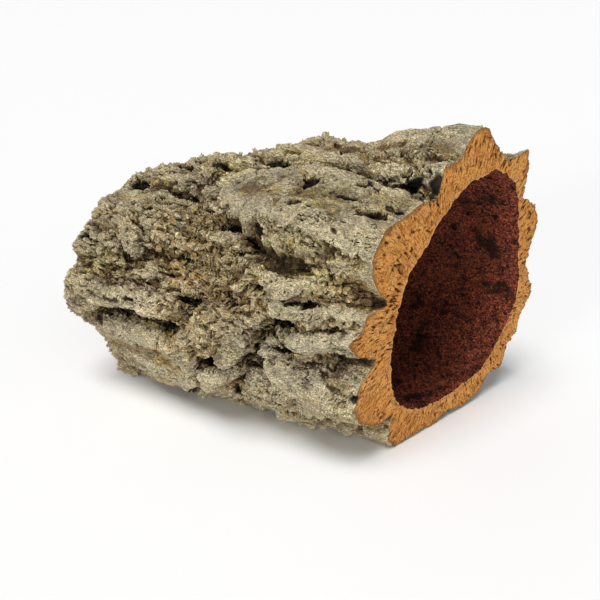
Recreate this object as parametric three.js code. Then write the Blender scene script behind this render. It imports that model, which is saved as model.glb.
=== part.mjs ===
// A tube of natural cork bark: the bark of a cork oak branch, stripped off whole, lying on its side.
// It is one piece. Outside it has the tree's ridges, furrows and broken plates, both ends are sawn flat,
// and the inside is the smooth hollow that the wood left. Millimetres and degrees, +Z up, +X along the tube.
// Angles go round the tube: 0 points along +Y, 90 up, 180 along -Y and 270 down.
import * as THREE from "three";

// Driving dimensions
const tubeLength = 187;
const sawnEnd = { centre: [0, 75], outer: [71, 77] };
const branchEnd = { centre: [-27, 57], outer: [65, 58], hollow: [51, 43] };
const sawLean = [0.12, 0.1]; // how far the saw cut leans forward, per millimetre along Y and up Z
const wallLeast = 5; // the thinnest that the wall gets under a furrow
const hollowWave = 1.5; // how far the hollow's wall swells in and out

// Mesh steps
const stepsAround = 114;
const stepsAlong = 43;
const stepsInside = 6;

// Crests and notches of each end's outline: [angle, distance from the end's centre]
const sawnOutline = [
  [3, 62], [12, 64], [23, 70], [34, 69], [45, 64], [54, 76], [60, 80], [68, 70], [75, 72], [82, 77],
  [89, 85], [96, 81], [102, 73], [109, 75], [115, 63], [124, 66], [132, 69], [139, 74], [148, 73],
  [154, 71], [160, 60], [166, 49], [170, 64], [175, 63], [180, 71], [186, 67], [192, 58], [197, 54],
  [202, 66], [211, 75], [220, 74], [230, 70], [237, 62], [243, 76], [249, 80], [257, 76], [265, 74],
  [272, 75], [280, 72], [287, 75], [295, 82], [302, 81], [309, 77], [316, 84], [323, 76], [330, 79],
  [338, 76], [346, 78], [354, 71],
];
const branchOutline = [
  [8, 64], [18, 58], [30, 63], [42, 58], [52, 61], [62, 56], [74, 59], [84, 57], [99, 60], [108, 62],
  [116, 58], [125, 63], [132, 65], [140, 62], [148, 65], [154, 67], [161, 62], [171, 67], [184, 66], [196, 62],
  [208, 53], [218, 58], [228, 64], [235, 71], [248, 65], [262, 58], [270, 57], [281, 58], [292, 60],
  [303, 63], [312, 59], [322, 66], [333, 63], [344, 66], [356, 60],
];
// The hollow's outline on the saw cut
const sawnHollow = [
  [12, 53], [36, 56], [58, 64], [76, 65], [97, 58.5], [111, 52], [126, 47], [151, 45], [165, 43], [188, 43],
  [211, 47], [224, 52], [243, 58.5], [257, 60.5], [271, 60.5], [289, 62.5], [311, 67.5], [324, 65.5], [344, 63],
];

// Furrows, each along a path of [distance along the tube from its middle, angle]. steep and gentle are the
// widths of the side walls towards the lower and the higher angle.
const furrows = [
  { path: [[-94, 189], [-81, 189], [-67, 184], [-50, 185], [-35, 186], [-20, 185], [-9, 181], [0, 183], [8, 189]],
    depth: 12, steep: 5, gentle: 12 },
  { path: [[6, 139], [21, 147], [30, 151], [41, 154], [55, 155.5], [68, 154.5], [76, 158], [83, 163], [96, 166]],
    depth: 11, steep: 11, gentle: 5 },
  { path: [[12, 205], [22, 199], [29, 191], [36, 183], [43, 179], [56, 177], [70, 176.5], [82, 180], [94, 194]],
    depth: 9, steep: 5, gentle: 7 },
  { path: [[-94, 222], [-60, 235], [-30, 231], [-8, 222], [8, 214], [22, 204], [34, 203], [44, 213], [62, 222],
    [96, 238]], depth: 8, steep: 6, gentle: 8 },
  { path: [[-94, 116], [-83, 113], [-60, 116], [-40, 121], [-19, 124], [-6, 118], [8, 108], [22, 102], [40, 104],
    [56, 109], [74, 112.5], [98, 113]], depth: 8, steep: 6, gentle: 7 },
  { path: [[-88, 160], [-70, 156], [-50, 158], [-34, 154], [-16, 153], [-2, 160]], depth: 5, steep: 5, gentle: 8 },
  { path: [[-94, 84], [-60, 90], [-25, 92], [4, 88], [30, 92], [60, 96], [98, 98]], depth: 5, steep: 6, gentle: 6 },
  { path: [[-94, 62], [-55, 66], [-20, 75], [15, 70], [55, 74], [98, 69]], depth: 8, steep: 6, gentle: 9 },
  { path: [[-94, 42], [-50, 36], [-10, 45], [30, 40], [65, 48], [98, 45]], depth: 9, steep: 9, gentle: 6 },
  { path: [[-94, 18], [-62, 22], [-30, 12], [10, 14], [48, 3], [98, 5]], depth: 9, steep: 6, gentle: 8 },
  { path: [[-94, 356], [-55, 350], [-15, 354], [25, 346], [60, 352], [98, 354]], depth: 7, steep: 7, gentle: 6 },
  { path: [[-94, 333], [-58, 328], [-20, 334], [18, 322], [55, 326], [98, 323]], depth: 8, steep: 6, gentle: 8 },
  { path: [[-94, 312], [-50, 306], [-8, 310], [30, 303], [60, 309], [98, 309]], depth: 7, steep: 7, gentle: 7 },
  { path: [[-94, 264], [-60, 270], [-10, 276], [40, 272], [98, 281]], depth: 4, steep: 6, gentle: 7 },
];

// Slabs of whole bark that stand out, each with its outline as [distance along, angle] and its height
const slabs = [
  { height: 4, outline: [[-18, 117], [-9, 126], [8, 137], [17, 140], [26, 138], [38, 141], [54, 143], [70, 146],
    [84, 149], [96, 154], [99, 122], [80, 118], [60, 116], [36, 112], [14, 112], [-6, 110]] },
  { height: 3.5, outline: [[42, 159], [54, 159], [68, 158], [76, 162], [84, 169], [88, 173], [68, 175], [54, 175],
    [47, 173], [44, 166]] },
  { height: 3, outline: [[52, 180], [68, 178.5], [84, 177], [88, 183], [76, 184], [64, 188], [55, 187]] },
  { height: 3, outline: [[38, 195], [48, 193], [60, 197], [68, 203], [76, 211], [64, 217], [50, 216], [46, 207], [38, 202]] },
  { height: 4, outline: [[-96, 164], [-76, 169], [-62, 171], [-46, 171], [-25, 172], [-12, 175], [-10, 179], [-36, 184],
    [-52, 182], [-66, 182], [-80, 187], [-96, 187]] },
  { height: 4, outline: [[-78, 194], [-62, 190], [-50, 189], [-36, 190], [-26, 191], [-18, 195], [-6, 196], [-8, 209],
    [-22, 226], [-38, 230], [-56, 229], [-78, 226], [-92, 216]] },
  { height: 4, outline: [[-2, 178], [4, 174], [22, 173], [31, 177], [30, 186], [26, 194], [14, 202], [11, 195], [4, 189]] },
  { height: 4, outline: [[-5, 206], [6, 207], [18, 201], [17, 209], [2, 219], [-10, 221]] },
  { height: 3, outline: [[-64, 142], [-54, 141], [-47, 147], [-43, 154], [-50, 157], [-58, 152]] },
];

// Crests that stand out between the furrows, each with its height and the half width of its foot
const crests = [
  { path: [[-94, 99], [-50, 93], [0, 89], [40, 87], [80, 88], [98, 89]], height: 7, foot: 24 },
  { path: [[-50, 72], [10, 71], [55, 67], [84, 70]], height: 8, foot: 17 },
  { path: [[-94, 132], [-55, 138], [-25, 142]], height: 4, foot: 18 },
  { path: [[-94, 236], [-40, 243], [0, 245], [40, 246], [98, 248]], height: 5, foot: 19 },
  { path: [[15, 137], [40, 138], [72, 141], [98, 142]], height: 4, foot: 15 },
];

// Hollows where bark has broken away: where, the half sizes along and around, and the depth
const hollows = [
  { at: [0, 153], size: [34, 31], depth: 4 },
  { at: [11, 168], size: [15, 8], depth: 5 },
  { at: [-6, 176], size: [12, 7], depth: 5 },
  { at: [-19, 124], size: [10, 8], depth: 6 },
  { at: [1, 138], size: [9, 8], depth: 4 },
  { at: [43, 179], size: [10, 7], depth: 8 },
  { at: [30, 198], size: [8, 7], depth: 4 },
  { at: [-2, 204], size: [12, 5], depth: 5 },
  { at: [-25, 189], size: [10, 6], depth: 4 },
  { at: [74, 192], size: [14, 10], depth: 5 },
  { at: [42, 122], size: [9, 8], depth: 4 },
  { at: [76, 113], size: [12, 6], depth: 6 },
  { at: [-83, 112], size: [8, 7], depth: 5 },
  { at: [82, 207], size: [9, 8], depth: 4 },
  { at: [-40, 20], size: [15, 9], depth: 6 },
  { at: [35, 60], size: [14, 8], depth: 5 },
  { at: [20, 335], size: [13, 9], depth: 6 },
  { at: [-60, 300], size: [12, 8], depth: 5 },
  { at: [62, 20], size: [11, 8], depth: 5 },
];

// Broken plates of bark over the whole surface
const plate = { length: 27, around: 22, step: 3.4, crackDepth: 3.4, crackWidth: 0.16, seed: 11 };
const swell = { length: 46, around: 9, height: 3.2, seed: 5 };

const turn = 360;
const toRadians = Math.PI / 180;

// A repeatable number from 0 to 1 for a lattice point
function draw(i, j, seed) {
  let h = Math.imul(i | 0, 374761393) ^ Math.imul(j | 0, 668265263) ^ Math.imul(seed | 0, 2147483647);
  h = Math.imul(h ^ (h >>> 13), 1274126177);
  h = Math.imul(h ^ (h >>> 15), 2246822519);
  return ((h ^ (h >>> 16)) >>> 0) / 4294967296;
}

const wrap = (value, period) => ((value % period) + period) % period;

// Smooth lattice noise from -1 to 1. The second coordinate repeats after period cells.
function noise(x, y, period, seed) {
  const i = Math.floor(x);
  const j = Math.floor(y);
  const u = THREE.MathUtils.smoothstep(x - i, 0, 1);
  const v = THREE.MathUtils.smoothstep(y - j, 0, 1);
  const at = (di, dj) => draw(i + di, wrap(j + dj, period), seed);
  const low = THREE.MathUtils.lerp(at(0, 0), at(1, 0), u);
  const high = THREE.MathUtils.lerp(at(0, 1), at(1, 1), u);
  return 2 * THREE.MathUtils.lerp(low, high, v) - 1;
}

// The difference between two angles, from -180 to 180
const angleBetween = (from, to) => wrap(to - from + turn / 2, turn) - turn / 2;

// The radius of a closed outline of [angle, radius] points at an angle
function outlineRadius(outline, angle) {
  const a = wrap(angle, turn);
  const next = outline.findIndex(([at]) => at > a);
  const after = outline[next < 0 ? 0 : next];
  const before = outline[wrap(next < 0 ? -1 : next - 1, outline.length)];
  const span = wrap(after[0] - before[0], turn);
  return THREE.MathUtils.lerp(before[1], after[1], wrap(a - before[0], turn) / span);
}

function ovalRadius([halfWidth, halfHeight], angle) {
  const c = Math.cos(angle * toRadians) * halfHeight;
  const s = Math.sin(angle * toRadians) * halfWidth;
  return (halfWidth * halfHeight) / Math.hypot(c, s);
}

const between = (a, b, share) => a.map((value, i) => THREE.MathUtils.lerp(value, b[i], share));

// The angle of a furrow at a distance along the tube, and how much of its depth is left past its ends
function furrowAt(path, x) {
  const last = path.length - 1;
  const fadeLength = 14;
  if (x <= path[0][0]) return { angle: path[0][1], share: Math.max(0, 1 - (path[0][0] - x) / fadeLength) };
  if (x >= path[last][0]) return { angle: path[last][1], share: Math.max(0, 1 - (x - path[last][0]) / fadeLength) };
  const i = path.findIndex(([at]) => at > x) - 1;
  const t = (x - path[i][0]) / (path[i + 1][0] - path[i][0]);
  return { angle: path[i][1] + angleBetween(path[i][1], path[i + 1][1]) * THREE.MathUtils.smoothstep(t, 0, 1), share: 1 };
}

function furrowDepth(x, angle, radius) {
  let deepest = 0;
  for (const { path, depth, steep, gentle } of furrows) {
    const { angle: middle, share } = furrowAt(path, x);
    const across = angleBetween(middle, angle) * toRadians * radius;
    const side = across < 0 ? -across / steep : across / gentle;
    const varying = 1 + 0.35 * noise(x / 16, middle / 30, 12, depth * 7 + steep);
    deepest = Math.max(deepest, depth * share * varying * (1 - THREE.MathUtils.smoothstep(side, 0, 1)));
  }
  return deepest;
}

function crestHeight(x, angle, radius) {
  let highest = 0;
  for (const { path, height, foot } of crests) {
    const { angle: middle, share } = furrowAt(path, x);
    const across = Math.abs(angleBetween(middle, angle)) * toRadians * radius;
    highest = Math.max(highest, height * share * (1 - THREE.MathUtils.smoothstep(across, 0.15 * foot, foot)));
  }
  return highest;
}

// How far a point of the bark lies inside a closed outline, in millimetres, negative outside it
function depthInside(outline, x, angle, radius) {
  const corners = outline.map(([at, turned]) => [at - x, angleBetween(angle, turned) * toRadians * radius]);
  let nearest = Infinity;
  let inside = false;
  corners.forEach(([ax, ay], i) => {
    const [bx, by] = corners[(i + 1) % corners.length];
    const [dx, dy] = [bx - ax, by - ay];
    const t = THREE.MathUtils.clamp(-(ax * dx + ay * dy) / (dx * dx + dy * dy), 0, 1);
    nearest = Math.min(nearest, Math.hypot(ax + t * dx, ay + t * dy));
    if (ay > 0 !== by > 0 && ax - (ay * dx) / dy > 0) inside = !inside;
  });
  return inside ? nearest : -nearest;
}

function slabHeight(x, angle, radius) {
  const edge = 2.5;
  let highest = 0;
  for (const { outline, height } of slabs) {
    const deep = depthInside(outline, x, angle, radius);
    highest = Math.max(highest, height * THREE.MathUtils.smoothstep(deep, -edge, edge));
  }
  return highest;
}

function hollowDepth(x, angle, radius) {
  let depthHere = 0;
  for (const { at, size, depth } of hollows) {
    const along = (x - at[0]) / size[0];
    const around = (angleBetween(at[1], angle) * toRadians * radius) / size[1];
    depthHere = Math.max(depthHere, depth * (1 - THREE.MathUtils.smoothstep(Math.hypot(along, around), 0.45, 1)));
  }
  return depthHere;
}

// Plates: each cell of a jittered lattice stands at its own height, with a crack round it
function plateHeight(x, angle) {
  const cellsAround = plate.around;
  const u = x / plate.length + 0.35 * noise(x / 18, angle / 24, 15, plate.seed + 1);
  const v = (angle / turn) * cellsAround + 0.3 * noise(x / 12, angle / 20, 18, plate.seed + 2);
  let nearest = Infinity;
  let second = Infinity;
  let height = 0;
  for (let i = Math.floor(u) - 1; i <= Math.floor(u) + 1; i++) {
    for (let j = Math.floor(v) - 1; j <= Math.floor(v) + 1; j++) {
      const row = wrap(j, cellsAround);
      const du = i + 0.15 + 0.7 * draw(i, row, plate.seed + 3) - u;
      const dv = j + 0.15 + 0.7 * draw(i, row, plate.seed + 4) - v;
      const distance = Math.hypot(du, dv);
      if (distance < nearest) {
        second = nearest;
        nearest = distance;
        height = draw(i, row, plate.seed + 5) - 0.5;
      } else if (distance < second) second = distance;
    }
  }
  const crack = 1 - THREE.MathUtils.smoothstep(second - nearest, 0, plate.crackWidth);
  return plate.step * height - plate.crackDepth * crack;
}

// A point at a share of the length, an angle and a distance from the section's centre
function pointOnTube(share, angle, radius) {
  const centre = between(branchEnd.centre, sawnEnd.centre, share);
  const y = centre[0] + radius * Math.cos(angle * toRadians);
  const z = Math.max(centre[1] + radius * Math.sin(angle * toRadians), 0);
  const sawX = tubeLength / 2 + sawLean[0] * (y - sawnEnd.centre[0]) + sawLean[1] * (z - sawnEnd.centre[1]);
  return [THREE.MathUtils.lerp(-tubeLength / 2, sawX, share), y, z];
}

// The bark's radius at a share of the length (0 at the branch end, 1 at the sawn end) and an angle
function barkRadius(share, angle) {
  const oval = ovalRadius(between(branchEnd.outer, sawnEnd.outer, share), angle);
  const [x] = pointOnTube(share, angle, oval);
  const nearSaw = THREE.MathUtils.smoothstep(share, 0.74, 1);
  const nearBranch = 1 - THREE.MathUtils.smoothstep(share, 0, 0.3);
  const inside = 1 - Math.max(nearSaw, nearBranch);
  const outline =
    nearSaw * (outlineRadius(sawnOutline, angle) - ovalRadius(sawnEnd.outer, angle)) +
    nearBranch * (outlineRadius(branchOutline, angle) - ovalRadius(branchEnd.outer, angle));
  const swelling = swell.height * noise(x / swell.length, (angle / turn) * swell.around, swell.around, swell.seed);
  const slab = slabHeight(x, angle, oval);
  const lines = crestHeight(x, angle, oval) - furrowDepth(x, angle, oval) + swelling + 1;
  const broken = slab + plateHeight(x, angle) * (1 - 0.12 * slab) - hollowDepth(x, angle, oval);
  const whole = 1 - 0.85 * THREE.MathUtils.smoothstep(share, 0.9, 1);
  return oval + outline + lines * inside + broken * whole * (1 - 0.5 * nearBranch);
}

// The hollow's radius, smooth, with slow swells
function hollowRadius(share, angle) {
  const branch = ovalRadius(branchEnd.hollow, angle);
  const radius = THREE.MathUtils.lerp(branch, outlineRadius(sawnHollow, angle), share);
  return radius + hollowWave * noise(share * 4, angle / 36, 10, 23);
}

// The tube's wall as a loop of sections: out along the bark, back along the hollow
function sectionPoint(step, angle) {
  const outside = step <= stepsAlong;
  const share = outside ? step / stepsAlong : 1 - (step - stepsAlong - 1) / stepsInside;
  const hollow = hollowRadius(share, angle);
  return pointOnTube(share, angle, outside ? Math.max(barkRadius(share, angle), hollow + wallLeast) : hollow);
}

function tubeGeometry() {
  const steps = stepsAlong + stepsInside + 2;
  const positions = [];
  const index = [];
  for (let i = 0; i < steps; i++) {
    for (let j = 0; j < stepsAround; j++) positions.push(...sectionPoint(i, (turn * j) / stepsAround));
  }
  const vertex = (i, j) => (i % steps) * stepsAround + (j % stepsAround);
  for (let i = 0; i < steps; i++) {
    for (let j = 0; j < stepsAround; j++) {
      index.push(vertex(i, j), vertex(i + 1, j + 1), vertex(i + 1, j));
      index.push(vertex(i, j), vertex(i, j + 1), vertex(i + 1, j + 1));
    }
  }
  const geometry = new THREE.BufferGeometry();
  geometry.setAttribute("position", new THREE.Float32BufferAttribute(positions, 3));
  geometry.setIndex(index);
  // The origin is under the middle of the tube, where it rests
  geometry.computeBoundingBox();
  const middle = geometry.boundingBox.getCenter(new THREE.Vector3());
  geometry.translate(-middle.x, -middle.y, -geometry.boundingBox.min.z);
  geometry.computeVertexNormals();
  return geometry;
}

const corkBark = new THREE.MeshStandardMaterial({ color: 0x8c8672, roughness: 0.95, metalness: 0 });
const tube = new THREE.Mesh(tubeGeometry(), corkBark);
tube.name = "cork_bark_tube";

const corkBarkTube = new THREE.Group();
corkBarkTube.add(tube);

export default corkBarkTube;
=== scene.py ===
import math
import bmesh
import bpy
import numpy as np
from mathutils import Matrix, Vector
from mathutils.bvhtree import BVHTree
from mathutils.kdtree import KDTree


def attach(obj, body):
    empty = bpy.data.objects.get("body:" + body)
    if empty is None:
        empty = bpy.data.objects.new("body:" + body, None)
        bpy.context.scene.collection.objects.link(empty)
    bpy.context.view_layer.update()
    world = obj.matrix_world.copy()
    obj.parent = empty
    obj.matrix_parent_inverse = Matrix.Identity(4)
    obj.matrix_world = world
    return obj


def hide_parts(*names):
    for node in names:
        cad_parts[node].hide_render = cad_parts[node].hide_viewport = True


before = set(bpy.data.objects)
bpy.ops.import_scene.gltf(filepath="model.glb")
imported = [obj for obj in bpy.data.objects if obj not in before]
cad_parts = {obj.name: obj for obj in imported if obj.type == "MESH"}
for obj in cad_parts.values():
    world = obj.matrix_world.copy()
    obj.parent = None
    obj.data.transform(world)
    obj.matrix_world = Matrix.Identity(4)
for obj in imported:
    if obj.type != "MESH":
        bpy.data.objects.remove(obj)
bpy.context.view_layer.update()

mm = 0.001


def linearColor(hexCode, alpha=1.0):
    parts = [int(hexCode[k:k + 2], 16) / 255 for k in (1, 3, 5)]
    linear = [c / 12.92 if c <= 0.04045 else ((c + 0.055) / 1.055) ** 2.4 for c in parts]
    return (*linear, alpha)


def addObject(name, data):
    added = bpy.data.objects.new(name, data)
    bpy.context.scene.collection.objects.link(added)
    return added


def evaluatedMesh(source):
    return bpy.data.meshes.new_from_object(source.evaluated_get(bpy.context.evaluated_depsgraph_get()))


def readArray(items, key, width, kind=np.float32):
    values = np.zeros(len(items) * width, kind)
    items.foreach_get(key, values)
    return values.reshape(-1, width)


def addNode(tree, kind, inputs=None, **settings):  # an input is a socket to link, a hex colour or a plain value
    node = tree.nodes.new(kind if kind.startswith(("Geometry", "Function", "NodeGroup")) else "ShaderNode" + kind)
    for name, value in settings.items():
        setattr(node, name, value)
    for key, value in (inputs or {}).items():
        if isinstance(value, bpy.types.NodeSocket):
            tree.links.new(value, node.inputs[key])
        elif isinstance(value, str) and value.startswith("#"):
            node.inputs[key].default_value = linearColor(value)
        else:
            node.inputs[key].default_value = value
    return node.outputs


# camera and light come first: the view that the object is judged in
camera = {
    "place": (0.25034, -0.29386, 0.2171),
    "turn": 49.4,        # degrees between the tube's axis and the line of sight, seen from above
    "fall": 22.8,        # degrees below the horizon
    "lens": 45.0,
}
cameraData = bpy.data.cameras.new("photoCamera")
cameraData.lens = camera["lens"]
cameraData.sensor_width = 36.0
cameraData.clip_start = 0.01
cameraData.clip_end = 100.0
cameraObject = addObject("photoCamera", cameraData)
turn, fall = math.radians(camera["turn"]), math.radians(camera["fall"])
sight = Vector((-math.cos(turn) * math.cos(fall), math.sin(turn) * math.cos(fall), -math.sin(fall)))
cameraObject.location = camera["place"]
cameraObject.rotation_euler = sight.to_track_quat("-Z", "Y").to_euler()
bpy.context.scene.camera = cameraObject

studio = {
    "sky": ("#ffffff", 0.24),
    "lamps": [  # name, where the light comes from, spread in degrees, strength, colour
        ("overheadLight", (0.1, -0.4, 1.0), 30, 2.4, "#ffffff"),
        ("frontLight", (0.0, -1.0, 0.08), 16, 1.65, "#ffffff"),
        ("sideLight", (1.0, -0.35, 0.45), 45, 0.42, "#ffffff"),
    ],
}
world = bpy.data.worlds.new("studioSky")
world.use_nodes = True
world.node_tree.nodes["Background"].inputs["Color"].default_value = linearColor(studio["sky"][0])
world.node_tree.nodes["Background"].inputs["Strength"].default_value = studio["sky"][1]
bpy.context.scene.world = world
for name, source, spread, strength, hexCode in studio["lamps"]:
    lampData = bpy.data.lights.new(name, "SUN")
    lampData.angle = math.radians(spread)
    lampData.energy = strength
    lampData.color = linearColor(hexCode)[:3]
    lamp = addObject(name, lampData)
    lamp.location = source
    lamp.rotation_euler = Vector(source).to_track_quat("Z", "Y").to_euler()
bpy.context.scene.view_settings.view_transform = "Standard"
bpy.context.scene.view_settings.look = "None"
print("camera and light set")

tube = {  # millimetres, in the frame of the solid
    "farX": -99.357,
    "sawX": 87.643,          # where the saw plane crosses the sawn end's centre
    "sawLean": (0.12, 0.10),
    "farCentre": (-16.763, 57.0),
    "sawCentre": (10.237, 75.0),
    "solidSteps": (114, 43, 6),  # around, along, inside
    "stepsAround": 1216,
    "stepsAlong": 500,
    "stepsRing": 44,
    "stepsInside": 60,
    "girthRadius": 68.0,     # patterns are laid out on a cylinder of this radius
    "length": 187,
    "middle": 93.5,
    "leastWall": 4.0,
    "jointColumns": 6,       # the surface turns straight over so many columns beside a joint
    "sawnDepth": 1.8,        # faces no deeper than this behind an end are sawn ones,
    "sawnFacing": 0.6,       # where they face that end by this share
    "sharpAngle": 0.7,
    "staves": [("topBark", 45), ("nearBark", 135), ("underBark", 225), ("backBark", 315)],  # and their first degree
    "triangles": 196000,  # in each stave
}


def sawPlaneAt(y, z):
    (leanY, leanZ), (middleY, middleZ) = tube["sawLean"], tube["sawCentre"]
    return tube["sawX"] + leanY * (y - middleY) + leanZ * (z - middleZ)


def placeOnTube(share, angle, radius):  # share, angle and radius arrays give points in millimetres
    far, saw = np.array(tube["farCentre"]), np.array(tube["sawCentre"])
    centre = far + np.multiply.outer(share, saw - far)
    y = centre[..., 0] + radius * np.cos(angle)
    z = centre[..., 1] + radius * np.sin(angle)
    return np.stack([tube["farX"] + share * (sawPlaneAt(y, z) - tube["farX"]), y, z], -1)


def sampleSolid(node, shares, angles, outside):
    mesh = node.data
    mesh.calc_loop_triangles()
    tree = BVHTree.FromPolygons(readArray(mesh.vertices, "co", 3).tolist(), readArray(mesh.loop_triangles, "vertices",
        3, np.int32).tolist())
    radii = np.zeros((len(shares), len(angles)))
    for i, share in enumerate(np.clip(shares, 0.0004, 0.9996)):
        middle = Vector(placeOnTube(np.float64(share), 0.0, 0.0)) * mm
        for j, angle in enumerate(angles):
            edge = Vector(placeOnTube(np.float64(share), angle, 110.0)) * mm
            start, way = (edge, middle - edge) if outside else (middle, edge - middle)
            hit = tree.ray_cast(start, way.normalized())[0]
            radii[i, j] = math.hypot(hit.y - middle.y, hit.z - middle.z) / mm
    return radii


def smoothWeights(count, fine, closed):  # Catmull-Rom weights from count samples to fine places
    place = np.arange(fine) * (count / fine if closed else (count - 1) / (fine - 1))
    base = np.floor(place).astype(int) if closed else np.minimum(np.floor(place).astype(int), count - 2)
    t = place - base
    cubic = (-0.5 * t + t**2 - 0.5 * t**3, 1 - 2.5 * t**2 + 1.5 * t**3, 0.5 * t + 2 * t**2 - 1.5 * t**3,
        -0.5 * t**2 + 0.5 * t**3)
    weights = np.zeros((fine, count))
    for k, weight in enumerate(cubic):
        at = base + k - 1
        np.add.at(weights, (np.arange(fine), at % count if closed else np.clip(at, 0, count - 1)), weight)
    return weights


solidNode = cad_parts["cork_bark_tube"]
around, along, inside = tube["solidSteps"]
solidAngles = np.arange(around) * 2 * np.pi / around
barkSamples = sampleSolid(solidNode, np.arange(along + 1) / along, solidAngles, True)
hollowSamples = sampleSolid(solidNode, np.arange(inside + 1) / inside, solidAngles, False)
aroundWeights = smoothWeights(around, tube["stepsAround"], True)
barkRadius = smoothWeights(along + 1, tube["stepsAlong"], False) @ barkSamples @ aroundWeights.T
hollowRadius = smoothWeights(inside + 1, tube["stepsInside"], False) @ hollowSamples @ aroundWeights.T
print("solid sampled", barkRadius.shape, round(float(barkRadius.min()), 1), round(float(barkRadius.max()), 1))

# the wall as one loop of rows: out along the bark, in over the saw cut, back along the hollow, out over the far end
rowShare, rowRadius, rowBark, rowKind = [], [], [], []
angles = np.arange(tube["stepsAround"]) * 2 * np.pi / tube["stepsAround"]


def addRow(share, radius, bark, kind):  # bark is how much of the bark's relief a row takes
    rowShare.append(share)
    rowRadius.append(radius)
    rowBark.append(bark)
    rowKind.append(kind)


for i, share in enumerate(np.linspace(0, 1, tube["stepsAlong"])):
    addRow(share, barkRadius[i], 1.0, 0)
for i in range(1, tube["stepsRing"]):
    t = i / tube["stepsRing"]
    addRow(1.0, barkRadius[-1] * (1 - t) + hollowRadius[-1] * t, 1 - t, 1)
for i, share in enumerate(np.linspace(1, 0, tube["stepsInside"])):
    addRow(share, hollowRadius[-1 - i], 0.0, 2)
for i in range(1, tube["stepsRing"] // 2):
    t = i / (tube["stepsRing"] // 2)
    addRow(0.0, hollowRadius[0] * (1 - t) + barkRadius[0] * t, t, 3)
rowShare, rowRadius = np.array(rowShare), np.array(rowRadius)
rowBark, rowKind = np.array(rowBark), np.array(rowKind)
rows, columns = rowRadius.shape
shareGrid = np.repeat(rowShare[:, None], columns, 1)
angleGrid = np.repeat(angles[None], rows, 0)
barkGrid = np.repeat(rowBark[:, None], columns, 1)
kindGrid = np.repeat(rowKind[:, None], columns, 1)

# where a point of the bark is on the tree: millimetres along, and round a cylinder
girth = tube["girthRadius"]
ovalPlace = placeOnTube(shareGrid, angleGrid, np.full((rows, columns), girth))
alongGrid = ovalPlace[..., 0] - tube["farX"]
fromMiddle = alongGrid - tube["middle"]
degreeGrid = np.degrees(angleGrid)
growth = np.stack([alongGrid, girth * np.cos(angleGrid), girth * np.sin(angleGrid)], -1)

# slabs of whole bark that stand out with a broken edge: outline as [millimetres from the middle, degrees round],
# how far the edge stands up, and how smooth the slab's face is
slabs = {
    "upperPlate": (1.5, 1.0, [(-18, 117), (-9, 126), (8, 137), (17, 140), (26, 138), (38, 141), (54, 143), (70, 146),
        (84, 149), (100, 154), (104, 122), (84, 117), (60, 115), (36, 109), (14, 107), (-6, 110)]),
    "frontBlock": (1.4, 0.7, [(42, 159), (54, 159), (68, 158), (76, 162), (84, 169), (88, 173), (68, 175), (54, 175),
        (47, 173), (44, 166)]),
    "smoothLobe": (1.0, 1.0, [(52, 180), (68, 178.5), (84, 177), (88, 183), (76, 184), (64, 188), (55, 187)]),
    "lowerPlate": (1.2, 0.8, [(38, 195), (48, 193), (60, 197), (68, 203), (76, 211), (64, 217), (50, 216), (46, 207),
        (38, 202)]),
    "farLobe": (1.2, 0.45, [(-104, 164), (-76, 169), (-62, 171), (-46, 171), (-25, 172), (-12, 175), (-10, 179),
        (-36, 184), (-52, 182), (-66, 182), (-80, 187), (-104, 187)]),
    "lowLobe": (1.3, 0.8, [(-78, 194), (-62, 190), (-50, 189), (-36, 190), (-26, 191), (-18, 195), (-6, 196),
        (-8, 209), (-22, 226), (-38, 230), (-56, 229), (-78, 226), (-92, 216)]),
    "middleFold": (1.3, 0.5, [(-2, 178), (4, 174), (22, 173), (31, 177), (30, 186), (26, 194), (14, 202), (11, 195),
        (4, 189)]),
    "roundBlock": (1.4, 0.8, [(-5, 206), (6, 207), (18, 201), (17, 209), (2, 219), (-10, 221)]),
    "smallRidge": (1.0, 0.4, [(31, 166), (38, 165), (42, 170), (45, 176), (38, 185), (33, 186), (34, 176)]),
    "stripedKnob": (1.6, 0.4, [(-64, 142), (-54, 141), (-47, 147), (-43, 154), (-50, 157), (-58, 152)]),
    "crestPlate": (1.2, 0.8, [(44, 96), (66, 98), (96, 102), (104, 92), (92, 86), (60, 88), (46, 90)]),
    "backPlate": (1.3, 0.9, [(-70, 22), (-30, 18), (6, 24), (34, 30), (30, 42), (-10, 40), (-52, 34), (-72, 32)]),
    "backLow": (1.3, 0.8, [(10, 330), (50, 333), (96, 336), (98, 346), (60, 349), (24, 345), (8, 339)]),
    "topFar": (1.2, 0.6, [(-88, 92), (-56, 94), (-38, 90), (-40, 78), (-64, 74), (-90, 80)]),
    "underPlate": (1.2, 0.8, [(-70, 246), (-20, 250), (30, 250), (60, 256), (40, 264), (-10, 264), (-60, 260)]),
}


def depthInside(outline):  # how far a point lies inside an outline, in millimetres, negative outside it
    nearest = np.full((rows, columns), 1e9)
    crossings = np.zeros((rows, columns), int)
    toArc = math.radians(1) * girth
    corners = [(x - fromMiddle, ((degrees - degreeGrid + 180) % 360 - 180) * toArc) for x, degrees in outline]
    for k, (ax, ay) in enumerate(corners):
        bx, by = corners[(k + 1) % len(corners)]
        dx, dy = bx - ax, by - ay
        t = np.clip(-(ax * dx + ay * dy) / np.maximum(dx * dx + dy * dy, 1e-9), 0, 1)
        nearest = np.minimum(nearest, np.hypot(ax + t * dx, ay + t * dy))
        crosses = ((ay > 0) != (by > 0)) & (np.abs(ay) + np.abs(by) < 180)
        crossings += crosses & (ax - ay * dx / np.where(dy == 0, 1, dy) > 0)
    return np.where(crossings % 2 == 1, nearest, -nearest)


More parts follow.
